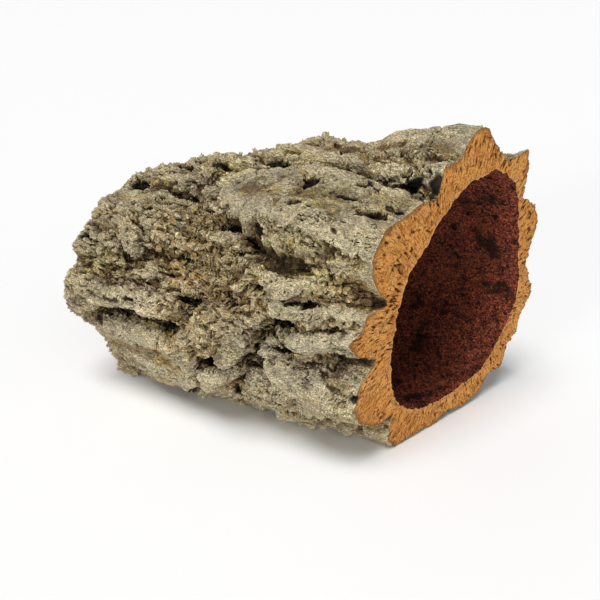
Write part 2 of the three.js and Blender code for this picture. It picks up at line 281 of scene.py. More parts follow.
slabDepth = np.full((rows, columns), -60.0)
slabRise = np.zeros((rows, columns))
slabSmooth = np.zeros((rows, columns))
for rise, smoothness, outline in slabs.values():
    deep = depthInside(outline)
    closer = deep > slabDepth
    slabDepth = np.where(closer, deep, slabDepth)
    slabRise = np.where(closer, rise, slabRise)
    slabSmooth = np.maximum(slabSmooth, smoothness * np.clip(deep / 2 + 0.5, 0, 1))
print("slabs laid out", len(slabs))

# marks of this piece of bark: kind, millimetres from the middle, degrees round, half sizes in millimetres
marks = {
    "smooth": [(88, 150, 10, 12), (62, 226, 20, 10), (10, 232, 30, 9), (20, 45, 34, 12), (-60, 60, 24, 9),
        (60, 250, 30, 10), (60, 10, 30, 10), (-30, 340, 34, 12), (40, 300, 30, 12), (-50, 280, 30, 14),
        (-24, 214, 26, 12), (-74, 124, 16, 10), (70, 86, 34, 14), (30, 94, 24, 9)],
    "golden": [(-4, 158, 15, 11), (8, 171, 12, 8), (-20, 139, 12, 8), (-10, 181, 11, 6), (22, 158, 10, 5),
        (85, 165, 8, 3), (3, 149, 12, 4), (64, 174, 7, 2), (-2, 195, 5, 4), (-16, 128, 8, 4), (38, 142, 6, 2),
        (14, 184, 5, 4), (-30, 152, 6, 5), (40, 60, 10, 4), (-50, 30, 12, 5), (0, 330, 15, 7), (74, 163, 8, 3)],
    "tan": [(-21, 194, 6, 3), (-56, 145, 6.5, 4.2), (-16, 107, 4, 2), (40, 142, 3, 1.4), (-10, 165, 4, 3),
        (11, 166, 4, 3), (-28, 199, 3, 2), (-2, 136, 5, 2), (-30, 124, 4, 2), (30, 62, 5, 3), (-44, 28, 5, 3),
        (6, 328, 6, 3), (90, 166, 4, 3)],
    "yellow": [(52, 134, 4.2, 3.6), (-24, 104, 11, 4), (-81, 169, 5, 3), (-38, 96, 9, 3), (46, 146, 9, 3),
        (10, 154, 12, 4), (58, 157, 13, 3), (30, 159, 7, 4), (60, 30, 12, 5), (-20, 10, 14, 6), (-60, 60, 14, 6),
        (10, 98, 8, 3), (-62, 160, 9, 5), (-4, 168, 6, 4)],
    "pale": [(-48, 213, 14, 6), (35, 189, 9, 4), (62, 201, 16, 5), (-4, 206, 9, 5), (30, 212, 14, 7),
        (-22, 217, 14, 6), (82, 108, 16, 3), (82, 92, 10, 4), (0, 240, 26, 8), (55, 232, 20, 8), (60, 340, 20, 7),
        (-40, 350, 16, 7), (-70, 128, 12, 8), (68, 182, 14, 4), (14, 118, 10, 3), (-36, 177, 20, 4), (20, 50, 20, 8)],
    "green": [(40, 148, 34, 6), (92, 150, 8, 9), (-62, 128, 14, 6), (70, 128, 14, 5), (-74, 160, 12, 8),
        (24, 104, 20, 5), (36, 190, 9, 5), (0, 60, 30, 8), (60, 300, 30, 8)],
    "rust": [(-14, 173, 4, 3), (-9, 175, 5, 3), (77, 166, 4, 2), (34, 89, 14, 4), (-12, 130, 5, 3), (14, 197, 3, 5),
        (38, 183, 4, 3), (66, 172, 3, 1.6), (2, 222, 4, 2.5), (-27, 204, 3, 2), (24, 168, 5, 3), (84, 206, 4, 3),
        (86, 112, 5, 2), (20, 66, 6, 3), (-34, 40, 6, 3), (-10, 326, 8, 3)],
    # painted shade: broad darker patches
    "broadShade": [(34, 124, 54, 18), (-84, 150, 26, 34), (64, 186, 36, 14), (60, 92, 40, 12), (-40, 80, 40, 20),
        (40, 20, 50, 20), (-40, 300, 50, 30)],
    "brown": [(40, 92, 24, 6), (66, 91, 20, 5), (12, 90, 12, 4), (-6, 172, 14, 5), (-30, 114, 10, 5),
        (26, 176, 8, 4), (76, 200, 8, 3), (-40, 60, 20, 6), (50, 20, 18, 6), (-10, 300, 20, 7)],
    "shaded": [(74, 192, 12, 6), (12, 120, 24, 6), (-35, 120, 22, 8), (-34, 166, 12, 4), (30, 151, 7, 4),
        (-60, 151, 8, 5), (-66, 192, 14, 5), (60, 112, 22, 3), (68, 129, 9, 3)],
    "striped": [(30, 148, 44, 9), (-54, 150, 9, 6), (74, 192, 13, 6), (94, 152, 7, 8), (-76, 178, 16, 5),
        (50, 70, 20, 7), (-20, 20, 26, 8), (10, 282, 30, 9)],
}
# deep holes with ragged rims: the same, and how deep
pitSize = 1.3
pits = [
    (-83, 112, 5, 4, 4), (-19, 124, 4.5, 4, 5), (25, 142, 2.5, 2.5, 3), (-44, 176, 3.5, 1, 3), (11, 168, 4, 2.5, 5),
    (-6, 175, 5, 3, 5), (43, 179, 5.5, 3, 7), (-25, 189, 5, 2.5, 4), (-2, 205, 5, 1.6, 4), (30, 198, 4.5, 1.8, 4),
    (42, 121, 4, 3, 3), (1, 137, 4, 2.5, 4), (-64, 184, 4, 1.5, 4), (55, 168, 2, 1.2, 2), (61, 168, 3, 1.4, 4),
    (74, 113, 7, 1.8, 5), (84, 111, 5, 2.4, 5), (82, 134, 4, 1.6, 4), (90, 130, 2, 1.4, 3), (66, 129, 5, 1, 2),
    (23, 102, 3, 1.6, 3), (96, 112, 4, 2, 4), (79, 183, 3, 0.9, 2), (83, 207, 3, 2, 4), (47, 134, 2.5, 1.4, 3),
    (55, 109, 5, 1.2, 3), (5, 104, 6, 1.4, 3), (-30, 104, 5, 2, 3), (-56, 103, 6, 2, 3), (38, 96, 3, 2, 3),
    (70, 122, 3, 1.2, 3), (17, 151, 5, 2, 5), (-88, 150, 3, 2, 3), (-50, 134, 3, 1.6, 3), (88, 190, 5, 1.6, 3),
    (20, 64, 6, 2.4, 4), (-40, 44, 6, 2, 4), (64, 52, 5, 3, 4), (0, 8, 7, 3, 5), (-70, 12, 5, 2, 4),
    (50, 352, 7, 2.4, 4), (-20, 322, 6, 3, 5), (80, 20, 5, 2.4, 4), (30, 286, 7, 3, 4), (-60, 300, 6, 2, 4),
    (12, 222, 6, 2, 4), (-40, 236, 7, 2, 3), (64, 222, 4, 1.6, 3), (46, 190, 5, 1, 3), (20, 172, 3, 1.2, 3),
]


def awayFrom(x, degrees, halfAlong, halfAround):  # 0 in the middle of a mark, 1 at its edge
    apart = (degreeGrid - degrees + 180) % 360 - 180
    return np.hypot((fromMiddle - x) / halfAlong, np.radians(apart) * girth / halfAround)


def markShare(spots):  # 1 in the middle of a mark, 0.5 at its edge, 0 far off
    share = np.zeros((rows, columns))
    for spot in spots:
        share = np.maximum(share, np.exp(-0.69 * awayFrom(*spot) ** 2))
    return share


markGrids = {kind: markShare(spots) for kind, spots in marks.items()}
pitShare = np.full((rows, columns), -1.0)
pitDepth = np.zeros((rows, columns))
for *spot, depth in pits:
    inward = 1 - awayFrom(*spot) / pitSize
    pitDepth = np.where(inward > pitShare, depth, pitDepth)
    pitShare = np.maximum(pitShare, inward)
slope = np.gradient(rowRadius, axis=1) / (2 * np.pi * girth / columns)
slope[rowKind != 0] = 0
wall = np.clip((np.abs(slope) - 0.45) / 0.6, 0, 1)
striped = np.clip(np.maximum(0.2 * wall, 1.3 * markGrids["striped"] - 0.4), 0, 1)
smoothGrid = np.clip(np.maximum(np.maximum(slabSmooth, 0.9 * striped),
    1.1 * markGrids["smooth"]) - 1.2 * markGrids["golden"], 0, 1)
print("marks laid out")


def storeMeasures(mesh, measures, picked=slice(None)):  # grids of numbers or vectors, as attributes of the points
    for key, values in measures.items():
        kind, field = ("FLOAT_VECTOR", "vector") if values.ndim == 3 else ("FLOAT", "value")
        flat = values.reshape(values.shape[0] * values.shape[1], -1)[picked].astype(np.float32)
        mesh.attributes.new(key, kind, "POINT").data.foreach_set(field, flat.ravel())


def meshFromGrid(name, points, fields, whole=True):  # rows wrap round, and columns too unless both sides get a cap
    tall, wide = points.shape[:2]
    mesh = bpy.data.meshes.new(name)
    mesh.vertices.add(tall * wide)
    mesh.vertices.foreach_set("co", (points * mm).astype(np.float32).ravel())
    at = np.arange(tall * wide).reshape(tall, wide)
    down = np.roll(at, -1, 0)
    if whole:
        quads = np.stack([at, np.roll(at, -1, 1), np.roll(down, -1, 1), down], -1).reshape(-1, 4)
        corners, starts = quads.ravel(), np.arange(0, quads.size, 4)
    else:
        quads = np.stack([at[:, :-1], at[:, 1:], down[:, 1:], down[:, :-1]], -1).reshape(-1, 4)
        corners = np.concatenate([quads.ravel(), at[:, 0], at[::-1, -1]])
        starts = np.append(np.arange(0, quads.size, 4), [quads.size, quads.size + tall])
    mesh.loops.add(len(corners))
    mesh.loops.foreach_set("vertex_index", corners.astype(np.int32))
    mesh.polygons.add(len(starts))
    mesh.polygons.foreach_set("loop_start", starts.astype(np.int32))
    mesh.update(calc_edges=True)
    storeMeasures(mesh, fields)
    return mesh


def blurred(grid, sizeRows, sizeColumns):  # Gaussian blur that wraps both ways
    f0 = np.fft.fftfreq(grid.shape[0])[:, None]
    f1 = np.fft.rfftfreq(grid.shape[1])[None]
    keep = np.exp(-2 * np.pi**2 * ((f0 * sizeRows) ** 2 + (f1 * sizeColumns) ** 2))
    return np.fft.irfft2(np.fft.rfft2(grid) * keep, grid.shape)


# bark is raised along the surface's own normal, which turns to straight out from the middle towards both ends
stepAround = 2 * np.pi * girth / columns
stepAlong = tube["length"] / tube["stepsAlong"]
basePoints = placeOnTube(shareGrid, angleGrid, rowRadius)
outward = np.cross(np.roll(basePoints, -1, 1) - np.roll(basePoints, 1, 1),
    np.roll(basePoints, -1, 0) - np.roll(basePoints, 1, 0))
outward /= np.maximum(np.linalg.norm(outward, axis=-1, keepdims=True), 1e-9)
outward = np.stack([blurred(outward[..., k], 1.6 / stepAlong, 1.6 / stepAround) for k in range(3)], -1)
straightOut = np.stack([np.zeros_like(angleGrid), np.cos(angleGrid), np.sin(angleGrid)], -1)
atEnd = np.clip(np.maximum((shareGrid - 0.95) / 0.04, (0.05 - shareGrid) / 0.04), 0, 1)
atEnd = np.where(kindGrid == 0, atEnd, 1.0)[..., None]
outward = outward * (1 - atEnd) + straightOut * atEnd
outward /= np.maximum(np.linalg.norm(outward, axis=-1, keepdims=True), 1e-9)
sideways = np.stack([np.zeros_like(angleGrid), -np.sin(angleGrid), np.cos(angleGrid)], -1)
onBark = np.clip(barkGrid * np.where(kindGrid == 0, 1.0, barkGrid), 0, 1)
nearEnds = np.clip((shareGrid - 0.93) / 0.07, 0, 1) * 0.4 + np.clip((0.06 - shareGrid) / 0.06, 0, 1) * 0.3
onHollow = np.where(kindGrid == 2, 1.0, np.where(kindGrid == 0, 0.0, (1 - barkGrid) ** 3))
crumbly = np.clip(1.2 * markGrids["golden"] + 0.25 * (1 - smoothGrid), 0, 1.2)
fields = {
    "outward": outward, "sideways": sideways, "barkShare": onBark * (1 - nearEnds) * (1 - 0.3 * wall),
    "roughShare": np.clip(1.0 - 0.9 * smoothGrid + 0.3 * markGrids["golden"], 0.1, 1.2),
    "openShare": np.clip(1 - smoothGrid, 0.1, 1), "crumblyShare": crumbly, "stripedShare": striped,
    "goldenShare": markGrids["golden"], "hollowShare": onHollow, "slabDepth": slabDepth, "slabRise": slabRise,
    "pitShare": pitShare, "pitDepth": pitDepth,
}
denseMesh = meshFromGrid("barkSurface", basePoints, fields)
denseObject = addObject("barkSurface", denseMesh)
print("surface grid", rows, "x", columns)

# The bark's relief, as layers that are added up, in millimetres. noise is soft lumps, seams are winding cracks,
# terraces are layers of bark broken off at different levels, cells are broken pieces at their own heights and
# slants, and edges are the cracks between such pieces.
relief = {
    "strength": 1.0,
    "seed": 3.0,
    "layers": [  # name, kind, size along, size around, detail, low, high, height, slant, mask, fine warp
        ("swells", "noise", 32, 14, 2, -0.6, 0.6, 1.4, 0, None, False),
        ("strata", "terraces", 36, 13, 3, 2.4, 0.05, 1.5, 0.6, "openShare", False),
        ("flakes", "terraces", 15, 6.0, 3, 2.2, 0.07, 0.75, 0.6, "roughShare", False),
        ("blocks", "cells", 18, 7.5, 0, 0, 1, 1.1, 1.3, "openShare", True),
        ("blockCracks", "edges", 16, 7.5, 0, 0.0, 0.045, 1.3, 0, "openShare", True),
        ("shards", "cells", 8, 3.6, 0, 0, 1, 0.4, 0.6, "roughShare", True),
        ("shardCracks", "edges", 8, 3.6, 0, 0.0, 0.05, 0.5, 0, "roughShare", True),
        ("chips", "cells", 3.6, 1.8, 0, 0, 1, 0.35, 0.5, "crumblyShare", True),
        ("fissures", "seams", 42, 6, 2, 0.0, 0.03, 2.3, 0, None, True),
        ("crossCracks", "seams", 9, 24, 2, 0.0, 0.02, 1.3, 0, None, True),
        ("scales", "terraces", 6.0, 2.2, 2, 2.0, 0.12, 0.34, 0.6, "roughShare", True),
        ("lumps", "noise", 6, 3.0, 2, -0.7, 0.7, 0.4, 0, "crumblyShare", True),
        ("grains", "noise", 2.6, 0.9, 3, -0.6, 0.6, 0.2, 0, None, False),
        ("fibres", "noise", 13, 1.4, 2, -0.6, 0.6, 1.4, 0, "goldenShare", True),
        ("stripes", "noise", 2.8, 26, 1, -0.6, 0.6, 1.8, 0, "stripedShare", False),
    ],
    "holes": [(13.0, 0.15, 2.4, None), (4.5, 0.2, 1.1, "crumblyShare")],  # apart, size, depth, mask
    "hollow": [(13, 0.9), (4.0, 1.0), (1.5, 0.55)],  # size and height of the lumps inside, where the bark left the wood
    "leanWave": 15.0,
    "leanAround": 0.4,     # how far raised bark leans over what is beside it, per millimetre of height
    "leanAlong": 0.3,
}
half = (0.5, 0.5, 0.5)
tree = bpy.data.node_groups.new("barkRelief", "GeometryNodeTree")
face = tree.interface
face.new_socket("Geometry", in_out="INPUT", socket_type="NodeSocketGeometry")
strengthSocket = face.new_socket("Relief", in_out="INPUT", socket_type="NodeSocketFloat")
seedSocket = face.new_socket("Seed", in_out="INPUT", socket_type="NodeSocketFloat")
face.new_socket("Bark", in_out="INPUT", socket_type="NodeSocketMaterial")
face.new_socket("Geometry", in_out="OUTPUT", socket_type="NodeSocketGeometry")
groupIn = addNode(tree, "NodeGroupInput")
seedOut = groupIn["Seed"]
measured = {}
for name in ("outward", "sideways"):
    measured[name] = addNode(tree, "GeometryNodeInputNamedAttribute", {"Name": name},
        data_type="FLOAT_VECTOR")["Attribute"]
for name in ("barkShare", "roughShare", "openShare", "crumblyShare", "stripedShare", "goldenShare", "hollowShare",
        "slabDepth", "slabRise", "pitShare", "pitDepth"):
    measured[name] = addNode(tree, "GeometryNodeInputNamedAttribute", {"Name": name})["Attribute"]
spot = addNode(tree, "GeometryNodeInputPosition")[0]
spot = addNode(tree, "VectorMath", {0: spot, "Scale": 1 / mm}, operation="SCALE")[0]
warped = [spot]
for size, reach in ((13, (9, 7, 7)), (3.4, (2.6, 2.2, 2.2))):
    bend = addNode(tree, "TexNoise", {"Vector": spot, "W": seedOut, "Scale": 1 / size, "Detail": 2.0},
        noise_dimensions="4D")
    centred = addNode(tree, "VectorMath", {0: bend["Color"], 1: half}, operation="SUBTRACT")
    moved = addNode(tree, "VectorMath", {0: centred[0], 1: reach, 2: warped[-1]}, operation="MULTIPLY_ADD")
    warped.append(moved[0])
total = addNode(tree, "Value")[0]
total.default_value = 0.0
tint = addNode(tree, "CombineXYZ")[0]
for index, (name, kind, sizeAlong, sizeAround, detail, low, high, height, slant, mask,
        fine) in enumerate(relief["layers"]):
    scaled = addNode(tree, "VectorMath", {0: warped[2 if fine else 1], 1: (1 / sizeAlong, 1 / sizeAround,
        1 / sizeAround)}, operation="MULTIPLY")[0]
    isCrack = kind in ("seams", "edges")
    pattern = index - 1 if kind == "edges" else index  # with the same draw as the pieces of the layer before
    offset = addNode(tree, "Math", {0: seedOut, 1: 7.3 * pattern}, operation="ADD")[0]
    if kind in ("noise", "seams", "terraces"):
        value = addNode(tree, "TexNoise", {"Vector": scaled, "W": offset, "Scale": 1.0, "Detail": detail,
            "Roughness": 0.55}, noise_dimensions="4D", normalize=False)["Fac"]
        if kind == "seams":
            value = addNode(tree, "Math", {0: value}, operation="ABSOLUTE")[0]
    else:
        cells = addNode(tree, "TexVoronoi", {"Vector": scaled, "W": offset, "Scale": 1.0, "Randomness": 1.0},
            voronoi_dimensions="4D", feature="F1" if kind == "cells" else "DISTANCE_TO_EDGE")
        value = cells["Distance"]
    if kind == "cells":
        drawn = addNode(tree, "VectorMath", {0: cells["Color"], 1: half}, operation="SUBTRACT")
        aside = addNode(tree, "VectorMath", {0: scaled, 1: cells["Position"]}, operation="SUBTRACT")
        slanted = addNode(tree, "VectorMath", {0: aside[0], 1: drawn[0]}, operation="DOT_PRODUCT")["Value"]
        tint = addNode(tree, "VectorMath", {0: drawn[0], 1: (0.9,) * 3, 2: tint}, operation="MULTIPLY_ADD")[0]
        own = addNode(tree, "SeparateXYZ", {0: drawn[0]})["X"]
        own = addNode(tree, "Math", {0: own, 1: height}, operation="MULTIPLY")[0]
        shaped = addNode(tree, "Math", {0: slanted, 1: 2 * slant, 2: own}, operation="MULTIPLY_ADD")[0]
    elif kind == "terraces":  # low is the number of steps, high the width of a step's edge
        climb = addNode(tree, "Math", {0: value, 1: low}, operation="MULTIPLY")[0]
        level = addNode(tree, "Math", {0: climb}, operation="FLOOR")[0]
        onStep = addNode(tree, "Math", {0: climb}, operation="FRACT")[0]
        edge = addNode(tree, "MapRange", {"Value": onStep, "From Max": high}, interpolation_type="SMOOTHSTEP")[0]
        edge = addNode(tree, "Math", {0: onStep, 1: -slant, 2: edge}, operation="MULTIPLY_ADD")[0]
        shaped = addNode(tree, "Math", {0: level, 1: edge}, operation="ADD")[0]
        shaped = addNode(tree, "Math", {0: shaped, 1: height}, operation="MULTIPLY")[0]
    else:
        bottom, top = (-1.0, 0.0) if isCrack else (-0.5, 0.5)
        shaped = addNode(tree, "MapRange", {"Value": value, "From Min": low, "From Max": high,
            "To Min": bottom * height, "To Max": top * height},
            interpolation_type="SMOOTHSTEP" if isCrack else "LINEAR")[0]
    if isCrack:  # it comes and goes along its way
        there = addNode(tree, "TexNoise", {"Vector": spot, "W": offset, "Scale": 1 / 9}, noise_dimensions="4D")["Fac"]
        there = addNode(tree, "MapRange", {"Value": there, "From Min": 0.42, "From Max": 0.58})[0]
        shaped = addNode(tree, "Math", {0: shaped, 1: there}, operation="MULTIPLY")[0]
    if mask:
        shaped = addNode(tree, "Math", {0: shaped, 1: measured[mask]}, operation="MULTIPLY")[0]
    total = addNode(tree, "Math", {0: total, 1: shaped}, operation="ADD")[0]
for apart, size, depth, mask in relief["holes"]:
    scaled = addNode(tree, "VectorMath", {0: warped[2], 1: (0.7 / apart, 1 / apart, 1 / apart)},
        operation="MULTIPLY")[0]
    holes = addNode(tree, "TexVoronoi", {"Vector": scaled, "Scale": 1.0})["Distance"]
    sunk = addNode(tree, "MapRange", {"Value": holes, "From Min": size * 0.6, "From Max": size, "To Min": -depth,
        "To Max": 0.0}, interpolation_type="SMOOTHSTEP")[0]
    if mask:
        sunk = addNode(tree, "Math", {0: sunk, 1: measured[mask]}, operation="MULTIPLY")[0]
    total = addNode(tree, "Math", {0: total, 1: sunk}, operation="ADD")[0]
# slab edges and deep holes, broken up by noise
ragged = addNode(tree, "TexNoise", {"Vector": spot, "Scale": 1 / 3.6, "Detail": 4.0, "Roughness": 0.65},
    normalize=False)["Fac"]
slabEdge = addNode(tree, "Math", {0: ragged, 1: 3.2, 2: measured["slabDepth"]}, operation="MULTIPLY_ADD")[0]
step = addNode(tree, "MapRange", {"Value": slabEdge, "From Min": -0.2, "From Max": 0.2, "To Max": 1.6},
    interpolation_type="SMOOTHSTEP")[0]
total = addNode(tree, "Math", {0: step, 1: measured["slabRise"], 2: total}, operation="MULTIPLY_ADD")[0]
pitEdge = addNode(tree, "Math", {0: ragged, 1: 1.3, 2: measured["pitShare"]}, operation="MULTIPLY_ADD")[0]
hole = addNode(tree, "MapRange", {"Value": pitEdge, "From Min": -0.05, "From Max": 0.45, "To Min": 0.0, "To Max": -1.0},
    interpolation_type="SMOOTHSTEP")[0]
total = addNode(tree, "Math", {0: hole, 1: measured["pitDepth"], 2: total}, operation="MULTIPLY_ADD")[0]
total = addNode(tree, "Math", {0: total, 1: groupIn["Relief"]}, operation="MULTIPLY")[0]
height = addNode(tree, "Math", {0: total, 1: measured["barkShare"]}, operation="MULTIPLY")[0]
for size, lumpHeight in relief["hollow"]:
    lumps = addNode(tree, "TexNoise", {"Vector": spot, "Scale": 1 / size, "Detail": 3.0}, normalize=False)["Fac"]
    lumps = addNode(tree, "Math", {0: lumps, 1: lumpHeight}, operation="MULTIPLY")[0]
    height = addNode(tree, "Math", {0: lumps, 1: measured["hollowShare"], 2: height}, operation="MULTIPLY_ADD")[0]
stored = addNode(tree, "GeometryNodeStoreNamedAttribute", {"Geometry": groupIn["Geometry"], "Name": "relief",
    "Value": height}, data_type="FLOAT", domain="POINT")
stored = addNode(tree, "GeometryNodeStoreNamedAttribute", {"Geometry": stored[0], "Name": "tint", "Value": tint},
    data_type="FLOAT_VECTOR", domain="POINT")
leanNoise = addNode(tree, "TexNoise", {"Vector": spot, "Scale": 1 / relief["leanWave"], "Detail": 1.0})
leanCentred = addNode(tree, "VectorMath", {0: leanNoise["Color"], 1: half}, operation="SUBTRACT")[0]
leanParts = addNode(tree, "SeparateXYZ", {0: leanCentred})
move = addNode(tree, "VectorMath", {0: measured["outward"], "Scale": height}, operation="SCALE")[0]
for part, way, reach in (("X", measured["sideways"], relief["leanAround"]), ("Y", None, relief["leanAlong"])):
    lean = addNode(tree, "Math", {0: leanParts[part], 1: 4 * reach}, operation="MULTIPLY")[0]
    lean = addNode(tree, "Math", {0: lean, 1: height}, operation="MULTIPLY")[0]
    if way:
        leaning = addNode(tree, "VectorMath", {0: way, "Scale": lean}, operation="SCALE")[0]
    else:
        leaning = addNode(tree, "CombineXYZ", {"X": lean})[0]
    move = addNode(tree, "VectorMath", {0: move, 1: leaning}, operation="ADD")[0]
move = addNode(tree, "VectorMath", {0: move, "Scale": mm}, operation="SCALE")[0]
raised = addNode(tree, "GeometryNodeSetPosition", {"Geometry": stored[0], "Offset": move})
finished = addNode(tree, "GeometryNodeSetMaterial", {"Geometry": raised[0], "Material": groupIn["Bark"]})
addNode(tree, "NodeGroupOutput", {0: finished[0]})

reliefModifier = denseObject.modifiers.new("barkRelief", "NODES")
reliefModifier.node_group = tree
reliefModifier[strengthSocket.identifier] = relief["strength"]
reliefModifier[seedSocket.identifier] = relief["seed"]
denseMade = evaluatedMesh(denseObject)
points = readArray(denseMade.vertices, "co", 3).reshape(rows, columns, 3).astype(np.float64) / mm
raisedBy = readArray(denseMade.attributes["relief"].data, "value", 1).reshape(rows, columns).astype(np.float64)
tintGrid = readArray(denseMade.attributes["tint"].data, "vector", 3).reshape(rows, columns, 3)
print("relief", round(float(raisedBy.min()), 2), round(float(raisedBy.max()), 2))

# the wall keeps its least thickness, both ends stay flat with their pores, and nothing goes below the floor
centre = placeOnTube(shareGrid, angleGrid, np.zeros((rows, columns)))
away = np.hypot(points[..., 1] - centre[..., 1], points[..., 2] - centre[..., 2])
hollowThere = np.stack([np.interp(rowShare, np.linspace(0, 1, tube["stepsInside"]),
    hollowRadius[:, j]) for j in range(columns)], 1)
least = hollowThere + tube["leastWall"] * np.where(kindGrid == 0, 1.0, barkGrid)
short = np.where((kindGrid != 2) & (away < least), least / np.maximum(away, 1e-6), 1.0)
points[..., 1:] = centre[..., 1:] + (points[..., 1:] - centre[..., 1:]) * short[..., None]
sawPlane = sawPlaneAt(points[..., 1], points[..., 2])
nearSaw = np.clip((shareGrid - 0.93) / 0.07, 0, 1)
nearFar = np.clip((0.05 - shareGrid) / 0.05, 0, 1)
flatX = tube["farX"] + shareGrid * (sawPlane - tube["farX"])
points[..., 0] += np.maximum(nearSaw, nearFar) * (flatX - points[..., 0])
points[..., 0] = np.clip(points[..., 0], tube["farX"], sawPlane)
points[..., 2] = np.maximum(points[..., 2], 0.0)

# pores and short lenticel channels in the sawn faces, cut by the saw
pores = {
    "seed": 8,
    "sawn": 260,
    "far": 120,
    "long": (0.6, 2.6),      # half sizes in millimetres
    "wide": (0.35, 0.8),
    "deep": (0.5, 1.5),
    "slots": [(79, 3.6), (82, 4.4), (85.5, 3.6), (89, 3.2), (75.5, 2.8), (72, 2.4), (93, 2.2), (63, 2.6), (52, 2.4),
              (41, 2.2), (30, 2.6), (17, 2.2), (5, 2.0)],  # the long channels at the top: degrees round, half length
    "slotWide": 0.95,
    "slotDeep": 1.8,
}
draw = np.random.default_rng(pores["seed"])
poreGrid = np.zeros((rows, columns))
for kind, count, way in ((1, pores["sawn"], -1.0), (3, pores["far"], 1.0)):
    picked = np.flatnonzero(rowKind == kind)
    for slot in range(count):  # the first ones are the long channels at the top of the sawn face
        fixed = pores["slots"][slot] if kind == 1 and slot < len(pores["slots"]) else None
        i = picked[int(len(picked) * 0.22) if fixed else int(draw.integers(3, len(picked) - 3))]
        angle = math.radians(fixed[0]) if fixed else draw.uniform(0, 2 * np.pi)
        middle = points[i, int(angle / (2 * np.pi) * columns) % columns]
        tilt = angle + draw.uniform(-0.5, 0.5) * (0.3 if fixed else 1)
        reach, width, deep = draw.uniform(*pores["long"]), draw.uniform(*pores["wide"]), draw.uniform(*pores["deep"])
        reach, width, deep = (fixed[1], pores["slotWide"], pores["slotDeep"]) if fixed else (reach, width, deep)
        gap = points[picked][..., 1:] - middle[1:]
        lengthways = gap[..., 0] * math.cos(tilt) + gap[..., 1] * math.sin(tilt)
        crossways = gap[..., 0] * math.sin(tilt) - gap[..., 1] * math.cos(tilt)
        inPore = np.clip(1 - np.hypot(lengthways / reach, crossways / width) ** 2, 0, 1)
        points[picked, :, 0] += way * deep * inPore**0.7
        poreGrid[picked] = np.maximum(poreGrid[picked], inPore)
print("ends cut")

# cavity and cavityWide are the height above the blurred surface; the bark finish uses them for painted highlights on
# crests and painted shade in hollows
shown = raisedBy + rowRadius
cavity = shown - blurred(shown, 1.3 / stepAlong, 1.3 / stepAround)
cavityWide = shown - blurred(shown, 5.0 / stepAlong, 5.0 / stepAround)
print("cavity", np.percentile(cavity, (2, 98)).round(2), "wide", np.percentile(cavityWide, (2, 98)).round(2))

# where two staves meet, the surface doesn't lean, so that both keep the same flat joint
starts = [round(columns * degrees / 360) for _, degrees in tube["staves"]]
columnGaps = [(np.arange(columns) - start + columns // 2) % columns - columns // 2 for start in starts]
fromJoint = np.min(np.abs(columnGaps), 0)
straight = np.clip(1 - fromJoint / tube["jointColumns"], 0, 1)[None, :, None] * (kindGrid == 0)[..., None]
away = np.hypot(points[..., 1] - centre[..., 1], points[..., 2] - centre[..., 2])
points += straight * (placeOnTube(shareGrid, angleGrid, away) - points)
points[..., 2] = np.maximum(points[..., 2], 0.0)

bpy.data.objects.remove(denseObject)
bpy.data.meshes.remove(denseMade)
# the dense grid's measures go over to the thinned meshes, from the nearest dense point
finder = KDTree(rows * columns)
for index, point in enumerate(points.reshape(-1, 3).tolist()):
    finder.insert(point, index)
finder.balance()
inBark = ((kindGrid == 0) & (shareGrid > 0.03) & (shareGrid < 0.965) & (points[..., 2] > 5)).astype(float)
rough = np.clip(1.05 - smoothGrid, 0, 1)
sunkShare = np.clip(0.5 - cavityWide / 2.5, 0, 1)
looks = {
    # cavity, cavityWide and pit feed painted highlights and painted shade in the bark finish
    "cavity": cavity, "cavityWide": cavityWide, "striped": striped, "ring": 1 - barkGrid, "smoothFace": smoothGrid,
    "warm": tintGrid[..., 1], "light": tintGrid[..., 2], "pit": np.clip(pitShare, 0, 1), "pore": poreGrid,
    "tone": np.full((rows, columns), 0.5), "growth": growth,
    **{kind: share for kind, share in markGrids.items() if kind not in ("smooth", "striped")},
}
places = {
    "chipShare": inBark * np.clip(0.9 * markGrids["golden"] + 0.5 * sunkShare * rough - 0.2, 0, 1),
    "crumbShare": inBark * np.clip(markGrids["golden"] + 0.3 * markGrids["yellow"] + 0.25 * sunkShare * rough - 0.15,
                                   0, 1.2),
    "scaleShare": inBark * np.clip(1.3 * markGrids["golden"] - 0.25, 0, 1),
    "splinterShare": inBark * np.clip(1.3 * markGrids["golden"] - 0.35, 0, 1),
    "grainShare": ((kindGrid == 2) & (shareGrid > 0.02) & (shareGrid < 0.99)).astype(float),
}
leanY, leanZ = tube["sawLean"]
sawNormal = np.array([1, -leanY, -leanZ]) / math.sqrt(1 + leanY ** 2 + leanZ ** 2)


def keepAboveFloor(mesh):
    spots = readArray(mesh.vertices, "co", 3)
    spots[:, 2] = np.maximum(spots[:, 2], 0)
    mesh.vertices.foreach_set("co", spots.ravel())
    return spots


def giveMeasures(mesh):  # returns which dense row kind each vertex came from, and the vertices in millimetres
    spots = keepAboveFloor(mesh) / mm
    nearest = np.array([finder.find(spot)[1] for spot in spots.tolist()])
    storeMeasures(mesh, looks, nearest)
    return np.repeat(rowKind, columns)[nearest], spots


